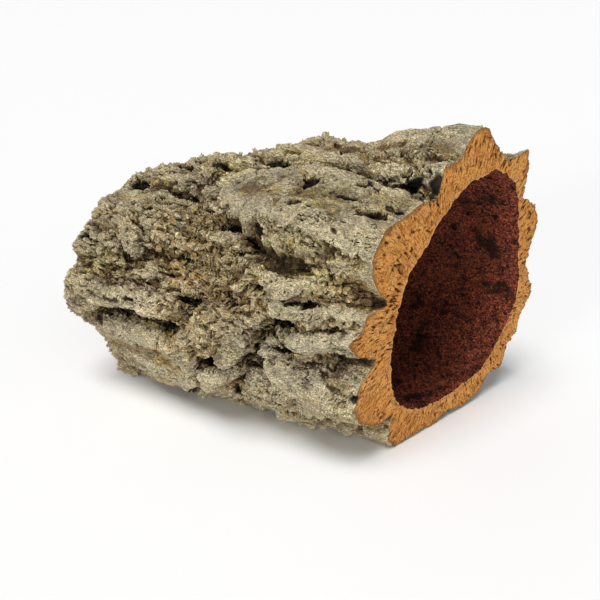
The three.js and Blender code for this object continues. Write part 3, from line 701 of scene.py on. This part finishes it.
staves = []
for (name, _), start in zip(tube["staves"], starts):
    picked = (start + np.arange(columns // len(starts) + 1)) % columns
    plainMesh = meshFromGrid(name, points[:, picked], {}, whole=False)
    stave = addObject(name, plainMesh)
    inner = np.arange(rows * len(picked)).reshape(rows, -1)[:, 1:-1].ravel()
    stave.vertex_groups.new(name="mayThin").add(inner.tolist(), 1.0, "REPLACE")
    thinner = stave.modifiers.new("thinner", "DECIMATE")
    thinner.vertex_group = "mayThin"  # the joint's own points stay, so neighbours fit exactly
    thinner.vertex_group_factor = 1.0
    thinner.ratio = tube["triangles"] / (2 * rows * len(picked))
    thinner.use_collapse_triangulate = True
    thinMesh = evaluatedMesh(stave)
    stave.modifiers.remove(thinner)
    stave.vertex_groups.clear()
    stave.data = thinMesh
    bpy.data.meshes.remove(plainMesh)
    thinMesh.name = name
    kinds, spots = giveMeasures(thinMesh)
    faceCorners = readArray(thinMesh.polygons, "vertices", 3, np.int32)
    faceKinds = np.sort(kinds[faceCorners], 1)
    normals = readArray(thinMesh.polygons, "normal", 3)
    behindSaw = (sawPlaneAt(spots[:, 1], spots[:, 2]) - spots[:, 0])[faceCorners].max(1)
    behindFar = (spots[:, 0] - tube["farX"])[faceCorners].max(1)
    onSaw = (behindSaw < tube["sawnDepth"]) & (faceKinds.max(1) >= 1) & ((faceKinds[:,
        1] == 1) | (normals @ sawNormal > tube["sawnFacing"]))
    onFar = (behindFar < tube["sawnDepth"]) & ((faceKinds[:, 1] == 3) | (normals[:, 0] < -tube["sawnFacing"]))
    slots = np.where(onSaw | onFar, 1, np.where(faceKinds[:, 1] == 2, 2, 0))
    thinMesh.polygons.foreach_set("material_index", slots.astype(np.int32))
    thinMesh.polygons.foreach_set("use_smooth", np.ones(len(slots), bool))
    thinMesh.set_sharp_from_angle(angle=tube["sharpAngle"])
    staves.append(stave)
    print(name, len(slots), "triangles, bark", int((slots == 0).sum()), "sawn", int((slots == 1).sum()), "inner",
        int((slots == 2).sum()))
ground = meshFromGrid("strewnGround", points[::2, ::2], {key: values[::2, ::2] for key,
    values in {**looks, **places}.items()})

def makeFinish(name, finish):  # sizes in millimetres; a finish's layers lie over each other in the order of patterns
    material = bpy.data.materials.new(name)
    material.use_nodes = True
    tree = material.node_tree
    inputs = tree.nodes["Principled BSDF"].inputs
    place = addNode(tree, "TexCoord")["Object"]
    grown = addNode(tree, "Attribute", attribute_name="growth", attribute_type="GEOMETRY")["Vector"]
    color = finish["base"]
    *edgePattern, edgeReach, edgeShift = finish.get("edge", (0, 0))
    patterns = {"blotches": (1.0, finish.get("detail"), 0.6, "4D"), "marks": edgePattern,
        "lines": (1.0, 2.0, 0.5, "3D"), "measures": None}
    layers = [(kind, layer) for kind in patterns for layer in finish.get(kind, [])]
    for index, (kind, layer) in enumerate(layers):
        hexCode, strength, low, high, source = layer[:5]
        if kind != "blotches":
            value = measured = addNode(tree, "Attribute", attribute_name=source, attribute_type="GEOMETRY")["Fac"]
        if kind != "measures":
            scale, detail, roughness, dimensions = patterns[kind]
            layout = place
            if isinstance(layer[-1], tuple):
                along, around = layer[-1]
                across = along if "roundWall" in finish else around
                layout = addNode(tree, "VectorMath", {0: place, 1: (1000 / along, 1000 / across, 1000 / across)},
                    operation="MULTIPLY")[0]
                if "roundWall" in finish:
                    turned = 1 / around - 1 / along
                    layout = addNode(tree, "VectorMath", {0: grown, 1: (0.0, turned, turned), 2: layout},
                        operation="MULTIPLY_ADD")[0]
            elif kind == "blotches":
                scale = 1000 / layer[-1]
            noise = {"Vector": layout, "Scale": scale, "Detail": detail, "Roughness": roughness}
            if dimensions == "4D":
                noise["W"] = finish["step"] * index
            value = addNode(tree, "TexNoise", noise, noise_dimensions=dimensions)["Fac"]
        if kind == "marks":
            value = addNode(tree, "Math", {0: value, 1: edgeReach, 2: measured}, operation="MULTIPLY_ADD")[0]
            value = addNode(tree, "Math", {0: value, 1: edgeShift}, operation="SUBTRACT")[0]
        share = addNode(tree, "MapRange", {"Value": value, "From Min": low, "From Max": high, "To Max": strength})[0]
        if kind == "lines":
            share = addNode(tree, "Math", {0: share, 1: measured}, operation="MULTIPLY")[0]
        color = addNode(tree, "Mix", {0: share, 6: color, 7: hexCode}, data_type="RGBA")[2]
    height = 0.0
    if "relief" in finish:
        scale, detail, roughness = finish["relief"]
        height = addNode(tree, "TexNoise", {"Vector": place, "Scale": scale, "Detail": detail,
            "Roughness": roughness})["Fac"]
    for along, around, detail, darkest, lightest in finish.get("grains", []):
        layout = addNode(tree, "VectorMath", {0: place, 1: (1000 / along, 1000 / around, 1000 / around)},
            operation="MULTIPLY")[0]
        grain = addNode(tree, "TexNoise", {"Vector": layout, "Scale": 1.0, "Detail": detail})["Fac"]
        factor = addNode(tree, "MapRange", {"Value": grain, "From Min": 0.36, "From Max": 0.64, "To Min": darkest,
            "To Max": lightest})[0]
        color = addNode(tree, "VectorMath", {0: color, "Scale": factor}, operation="SCALE")[0]
        height = addNode(tree, "Math", {0: grain, 1: along, 2: height}, operation="MULTIPLY_ADD")[0]
    if "tone" in finish:
        tone = addNode(tree, "Attribute", attribute_name="tone", attribute_type="GEOMETRY")["Fac"]
        factor = addNode(tree, "MapRange", {"Value": tone, "To Min": finish["tone"][0], "To Max": finish["tone"][1]})[0]
        color = addNode(tree, "VectorMath", {0: color, "Scale": factor}, operation="SCALE")[0]
    if layers:
        tree.links.new(color, inputs["Base Color"])
    else:
        inputs["Base Color"].default_value = linearColor(color)
    inputs["Roughness"].default_value, inputs["Specular IOR Level"].default_value = finish["shine"]
    if "bump" in finish:
        bump = addNode(tree, "Bump", {"Height": height, "Strength": finish["bump"][0], "Distance": finish["bump"][1]})
        tree.links.new(bump[0], inputs["Normal"])
    return material


# A layer is its colour, strength, low, high and source: noise sizes for blotches, the name of a measure for the rest,
# and for lines noise sizes as well. Marks have a ragged edge. Grains are sizes, detail, darkest and lightest, drawn as
# coarse as they need to show.

# Weathered cork bark, grown and never worked: matt, granular, grey-olive on whole faces and brown where it broke,
# with painted highlights on crests, painted shade in cracks, painted shade nearly black in deep holes, painted shade
# over broad patches, hairlines on whole faces and dark lines down the striped walls
barkFinish = {
    "base": "#9b8a64", "detail": 4.0, "step": 3.1, "edge": (280.0, 5.0, 0.7, "4D", 2.2, 0.75),
    "blotches": [
        ("#a79b7a", 0.8, 0.48, 0.60, (17, 8)), ("#787052", 0.8, 0.50, 0.60, (24, 12)),
        ("#86693f", 0.75, 0.53, 0.62, (12, 7)), ("#868b66", 0.6, 0.55, 0.66, (9, 7)),
        ("#8a7264", 0.7, 0.54, 0.62, (7, 5)), ("#9b8350", 0.6, 0.57, 0.66, (6, 5)),
        ("#57462f", 0.7, 0.56, 0.64, (4.2, 2.4)), ("#b5ad95", 0.35, 0.58, 0.68, (2.6, 1.8)),
        ("#42341f", 0.7, 0.61, 0.66, (1.7, 1.2)),
    ],
    "marks": [
        ("#83623a", 0.8, 0.45, 0.8, "brown"), ("#a8a177", 0.7, 0.5, 0.9, "green"),
        ("#cfc6ab", 0.7, 0.5, 0.85, "pale"), ("#d2c47c", 0.9, 0.5, 0.75, "yellow"),
        ("#ba9148", 0.9, 0.42, 0.78, "golden"), ("#d6c07c", 0.75, 0.80, 0.98, "golden"),
        ("#633f1d", 0.8, 0.84, 1.0, "golden"), ("#b8893f", 0.85, 0.55, 0.85, "tan"),
        # the second mark on the next line is painted shade over broad patches
        ("#673a1f", 0.8, 0.6, 0.9, "rust"), ("#5c523d", 0.5, 0.35, 0.8, "broadShade"),
        ("#443a2b", 0.55, 0.56, 0.95, "shaded"),
    ],
    "lines": [
        ("#4b4434", 0.5, 0.53, 0.60, "smoothFace", (0.7, 4.5)), ("#4b4434", 0.95, 0.54, 0.58, "striped", (2.4, 22.0)),
    ],
    "measures": [
        ("#a78b4e", 0.6, 0.15, 0.7, "warm"), ("#796b5c", 0.55, -0.15, -0.7, "warm"),
        ("#bfb291", 0.5, 0.15, 0.7, "light"), ("#56472f", 0.5, -0.15, -0.7, "light"),
        # painted light from the relief: painted highlights on raised bark and crests, painted shade, browner then
        # darker, in sunk places and cracks
        ("#b3a98e", 0.45, 0.3, 1.6, "cavityWide"), ("#6d5433", 0.6, -0.4, -1.5, "cavityWide"),
        ("#cbbd97", 0.3, 0.2, 0.8, "cavity"), ("#423120", 0.8, -0.15, -0.6, "cavity"),
        # painted shade, nearly black, in the deepest furrows and in the deep holes
        ("#2a1f13", 0.6, -1.6, -3.2, "cavityWide"), ("#120c07", 0.95, 0.05, 0.3, "pit"),
    ],
    "grains": [(3.4, 1.1, 1.0, 0.78, 1.18), (1.3, 0.5, 1.0, 0.64, 1.28), (0.42, 0.34, 1.0, 0.48, 1.48)],
    "tone": (0.5, 1.5), "shine": (0.93, 0.2), "relief": (280.0, 6.0, 0.72), "bump": (0.7, 0.0004),
}

# Cork sawn across: orange-tan and matt, with growth lines, dark lenticel channels, pores and a darker rim
sawnFinish = {
    "base": "#d69145", "detail": 3.0, "step": 2.7, "roundWall": True, "edge": (420.0, 3.0, 0.5, "3D", 0.14, 0.07),
    "blotches": [  # sizes through and round the wall
        ("#e4ad60", 0.7, 0.44, 0.62, (14, 14)), ("#935526", 0.55, 0.52, 0.66, (9, 3.5)),
        ("#e4ad60", 0.7, 0.52, 0.6, (2.2, 2.2)), ("#935526", 0.85, 0.53, 0.6, (4.0, 1.0)),
        ("#935526", 0.85, 0.53, 0.6, (1.0, 1.0)), ("#42200e", 0.9, 0.625, 0.66, (1.4, 1.4)),
        ("#42200e", 0.9, 0.63, 0.665, (1.1, 6.0)), ("#42200e", 0.95, 0.625, 0.66, (6.0, 1.1)),
    ],
    "marks": [("#7a5230", 0.75, 0.10, 0.02, "ring"), ("#d8a96c", 0.5, 0.93, 0.99, "ring")],
    "measures": [("#42200e", 0.9, 0.1, 0.6, "pore")],
    "shine": (0.85, 0.2), "relief": (1400.0, 2.0, 0.5), "bump": (0.5, 0.0006),
}

# The inside of the bark, where it came off the wood: dark red-brown, dusty and granular, with black blotches
innerFinish = {
    "base": "#6a3426", "detail": 3.0, "step": 1.9,
    "blotches": [
        ("#6c3220", 0.6, 0.44, 0.62, 18), ("#94492c", 0.85, 0.5, 0.58, 1.8), ("#210c09", 0.9, 0.51, 0.58, 1.6),
        ("#b4603f", 0.9, 0.55, 0.60, 1.0), ("#140605", 0.9, 0.54, 0.58, 0.9), ("#170807", 0.85, 0.53, 0.63, 12),
        ("#0d0404", 0.9, 0.6, 0.66, 6.5),
    ],
    "tone": (0.45, 1.55), "shine": (0.9, 0.2), "relief": (900.0, 3.0, 0.7), "bump": (0.8, 0.0009),
}

# Torn cork fibre and curled scales, where bark broke away: golden brown, silky along the grain
tornFinish = {
    "base": "#87704a",
    "measures": [("#b8a678", 0.8, 0.45, 1.0, "tone"), ("#544028", 0.9, 0.5, 0.0, "tone")],
    "grains": [(6.25, 1 / 1.5, 2.0, 0.55, 1.4)],
    "shine": (0.8, 0.25), "bump": (0.5, 0.000048),
}

# Crustose lichen and dust on the bark: pale grey-green to yellow, powdery
lichenFinish = {
    "base": "#94886a",
    "measures": [
        ("#bcb59d", 0.8, 0.0, 1.0, "pale"), ("#a99d5c", 0.8, 0.0, 1.0, "yellow"), ("#57503a", 0.85, 0.5, 0.05, "tone"),
    ],
    "grains": [(1 / 1.8, 1 / 1.8, 2.0, 0.7, 1.3)],
    "shine": (0.95, 0.15), "bump": (0.5, 0.00054),
}
weatheredBark, sawnCork, innerBark, tornCork, lichenCrust = [makeFinish(name, finish) for name,
    finish in (("weatheredCorkBark", barkFinish), ("sawnCork", sawnFinish), ("peeledInnerBark", innerFinish),
    ("tornCorkFibre", tornFinish), ("crustLichen", lichenFinish))]
print("materials made")

for stave in staves:
    for material in (weatheredBark, sawnCork, innerBark):
        stave.data.materials.append(material)


# small shapes that are strewn over the bark, one millimetre across and centred
def smallShape(name, bm):
    bmesh.ops.recalc_face_normals(bm, faces=bm.faces)
    mesh = bpy.data.meshes.new(name)
    bm.to_mesh(mesh)
    bm.free()
    return addObject(name, mesh)


grainBm = bmesh.new()
bmesh.ops.create_icosphere(grainBm, subdivisions=1, radius=0.5 * mm)
splinterBm = bmesh.new()
bmesh.ops.create_cone(splinterBm, cap_ends=True, segments=4, radius1=0.5 * mm, radius2=0.18 * mm, depth=1 * mm)
bmesh.ops.rotate(splinterBm, verts=splinterBm.verts,
    matrix=Vector((0, 0, 1)).rotation_difference(Vector((1, 0, 0))).to_matrix())
scaleBm = bmesh.new()
bmesh.ops.create_grid(scaleBm, x_segments=4, y_segments=3, size=0.5 * mm)
for vert in scaleBm.verts:  # a ragged scale, curled up towards one edge
    u, v = vert.co.x / mm, vert.co.y / mm
    vert.co.x *= 1 - 0.5 * v * v + 0.12 * math.sin(9 * v)
    vert.co.y *= 1 - 0.6 * u * u + 0.1 * math.sin(11 * u + 1)
    vert.co.z = (0.9 * (u + 0.5) ** 2 + 0.35 * v * v) * mm
bmesh.ops.solidify(scaleBm, geom=scaleBm.faces[:], thickness=0.12 * mm)
shapes = {"grain": smallShape("grainShape", grainBm), "splinter": smallShape("splinterShape", splinterBm),
    "scale": smallShape("scaleShape", scaleBm)}

# what is strewn: sizes in millimetres, tilt in radians, number per square centimetre where its measure is 1
strewn = {
    "barkChips": {"shape": "grain", "measure": "chipShare", "perSquare": 16.0, "seed": 11, "low": (1.6, 1.0, 0.7),
        "high": (4.6, 2.8, 1.9), "tilt": 0.5, "ragged": 1.2, "raggedSize": 1.1, "lift": 0.0, "finish": weatheredBark},
    "barkCrumbs": {"shape": "grain", "measure": "crumbShare", "perSquare": 26.0, "seed": 12, "low": (0.6, 0.5, 0.4),
        "high": (1.6, 1.2, 1.0), "tilt": 0.8, "ragged": 0.5, "raggedSize": 0.7, "lift": 0.1, "finish": lichenCrust},
    "curledScales": {"shape": "scale", "measure": "scaleShare", "perSquare": 8.0, "seed": 13, "low": (1.8, 1.4, 0.8),
        "high": (4.6, 3.4, 2.0), "tilt": 0.5, "ragged": 0.6, "raggedSize": 2.0, "lift": 0.1, "finish": tornCork},
    "corkSplinters": {"shape": "splinter", "measure": "splinterShare", "perSquare": 8.0, "seed": 14,
        "low": (2.2, 0.4, 0.3), "high": (6.5, 1.0, 0.7), "tilt": 0.25, "ragged": 0.8, "raggedSize": 4.0, "lift": 0.1,
        "finish": tornCork},
    "innerGrains": {"shape": "grain", "measure": "grainShare", "perSquare": 13.0, "seed": 15, "low": (0.5, 0.5, 0.3),
        "high": (1.5, 1.4, 0.8), "tilt": 0.6, "ragged": 0.5, "raggedSize": 0.7, "lift": 0.0, "finish": innerBark},
}
perSquareMetre = 10000 * 1.0
for name, kind in strewn.items():
    tree = bpy.data.node_groups.new(name, "GeometryNodeTree")
    face = tree.interface
    face.new_socket("Geometry", in_out="INPUT", socket_type="NodeSocketGeometry")
    given = [("Density", "Float", kind["perSquare"] * perSquareMetre), ("Tilt", "Float", kind["tilt"]),
        ("Ragged", "Float", kind["ragged"] * mm), ("Ragged Size", "Float", kind["raggedSize"] * mm),
        ("Lift", "Float", kind["lift"] * mm), ("Smallest", "Vector", kind["low"]), ("Largest", "Vector", kind["high"]),
        ("Seed", "Int", kind["seed"]), ("Shape", "Object", shapes[kind["shape"]]),
        ("Finish", "Material", kind["finish"])]
    sockets = [(face.new_socket(key, in_out="INPUT", socket_type="NodeSocket" + form), value) for key, form,
        value in given]
    face.new_socket("Geometry", in_out="OUTPUT", socket_type="NodeSocketGeometry")
    groupIn = addNode(tree, "NodeGroupInput")
    share = addNode(tree, "GeometryNodeInputNamedAttribute", {"Name": kind["measure"]})["Attribute"]
    density = addNode(tree, "Math", {0: share, 1: groupIn["Density"]}, operation="MULTIPLY")[0]
    spots = addNode(tree, "GeometryNodeDistributePointsOnFaces", {"Mesh": groupIn["Geometry"], "Density": density,
        "Seed": groupIn["Seed"]}, distribute_method="RANDOM")
    upright = addNode(tree, "FunctionNodeAlignRotationToVector", {"Vector": spots["Normal"]}, axis="Z")[0]
    grained = addNode(tree, "FunctionNodeAlignRotationToVector", {"Rotation": upright, "Vector": (1.0, 0.0, 0.0)},
        axis="X", pivot_axis="Z")[0]
    spin = addNode(tree, "Math", {0: groupIn["Tilt"], 1: 2.0}, operation="MULTIPLY")[0]
    highTurn = addNode(tree, "CombineXYZ", {0: groupIn["Tilt"], 1: groupIn["Tilt"], 2: spin})[0]
    lowTurn = addNode(tree, "VectorMath", {0: highTurn, "Scale": -1.0}, operation="SCALE")[0]
    ownTurn = addNode(tree, "FunctionNodeRandomValue", {"Min": lowTurn, "Max": highTurn, "Seed": groupIn["Seed"]},
        data_type="FLOAT_VECTOR")[0]
    ownTurn = addNode(tree, "FunctionNodeEulerToRotation", {0: ownTurn})[0]
    turned = addNode(tree, "FunctionNodeRotateRotation", {"Rotation": grained, "Rotate By": ownTurn},
        rotation_space="LOCAL")[0]
    nextSeed = addNode(tree, "Math", {0: groupIn["Seed"], 1: 1.0}, operation="ADD")[0]
    size = addNode(tree, "FunctionNodeRandomValue", {"Min": groupIn["Smallest"], "Max": groupIn["Largest"],
        "Seed": nextSeed}, data_type="FLOAT_VECTOR")[0]
    shape = addNode(tree, "GeometryNodeObjectInfo", {"Object": groupIn["Shape"], "As Instance": True},
        transform_space="ORIGINAL")["Geometry"]
    strewnOut = addNode(tree, "GeometryNodeInstanceOnPoints", {"Points": spots["Points"], "Instance": shape,
        "Rotation": turned, "Scale": size})[0]
    up = addNode(tree, "CombineXYZ", {2: groupIn["Lift"]})[0]
    lifted = addNode(tree, "GeometryNodeTranslateInstances", {0: strewnOut, "Translation": up})[0]
    tone = addNode(tree, "FunctionNodeRandomValue", {"Seed": groupIn["Seed"]}, data_type="FLOAT")[1]
    toned = addNode(tree, "GeometryNodeStoreNamedAttribute", {"Geometry": lifted, "Name": "tone", "Value": tone},
        data_type="FLOAT", domain="INSTANCE")[0]
    real = addNode(tree, "GeometryNodeRealizeInstances", {0: toned})[0]
    position = addNode(tree, "GeometryNodeInputPosition")[0]
    fineness = addNode(tree, "Math", {0: 1.0, 1: groupIn["Ragged Size"]}, operation="DIVIDE")[0]
    ragged = addNode(tree, "TexNoise", {"Vector": position, "Scale": fineness, "Detail": 0.0})["Color"]
    ragged = addNode(tree, "VectorMath", {0: ragged, 1: half}, operation="SUBTRACT")[0]
    ragged = addNode(tree, "VectorMath", {0: ragged, "Scale": groupIn["Ragged"]}, operation="SCALE")[0]
    broken = addNode(tree, "GeometryNodeSetPosition", {"Geometry": real, "Offset": ragged})[0]
    flat = addNode(tree, "GeometryNodeSetShadeSmooth", {0: broken, "Shade Smooth": False})[0]
    dressed = addNode(tree, "GeometryNodeSetMaterial", {"Geometry": flat, "Material": groupIn["Finish"]})[0]
    addNode(tree, "NodeGroupOutput", {0: dressed})
    carrier = addObject(name, ground)
    modifier = carrier.modifiers.new(name, "NODES")
    modifier.node_group = tree
    for socket, value in sockets:
        modifier[socket.identifier] = value
    strewnMesh = evaluatedMesh(carrier)
    strewnMesh.name = name
    keepAboveFloor(strewnMesh)
    carrier.modifiers.remove(modifier)
    carrier.data = strewnMesh
    strewnMesh.calc_loop_triangles()
    print(name, len(strewnMesh.loop_triangles), "triangles")
    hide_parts("cork_bark_tube")
    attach(carrier, "root")
for shape in shapes.values():
    bpy.data.objects.remove(shape)

bpy.data.meshes.remove(ground)
for stave in staves:
    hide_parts("cork_bark_tube")
    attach(stave, "root")
print("tube finished")

# a plain white studio floor
floorMesh = bpy.data.meshes.new("studioFloor")
floorMesh.from_pydata([(-40, -40, 0), (40, -40, 0), (40, 40, 0), (-40, 40, 0)], [], [(0, 1, 2, 3)])
floorMesh.materials.append(makeFinish("matteFloorPaint", {"base": "#fafafa", "shine": (0.9, 0.1)}))
addObject("studioFloor", floorMesh)
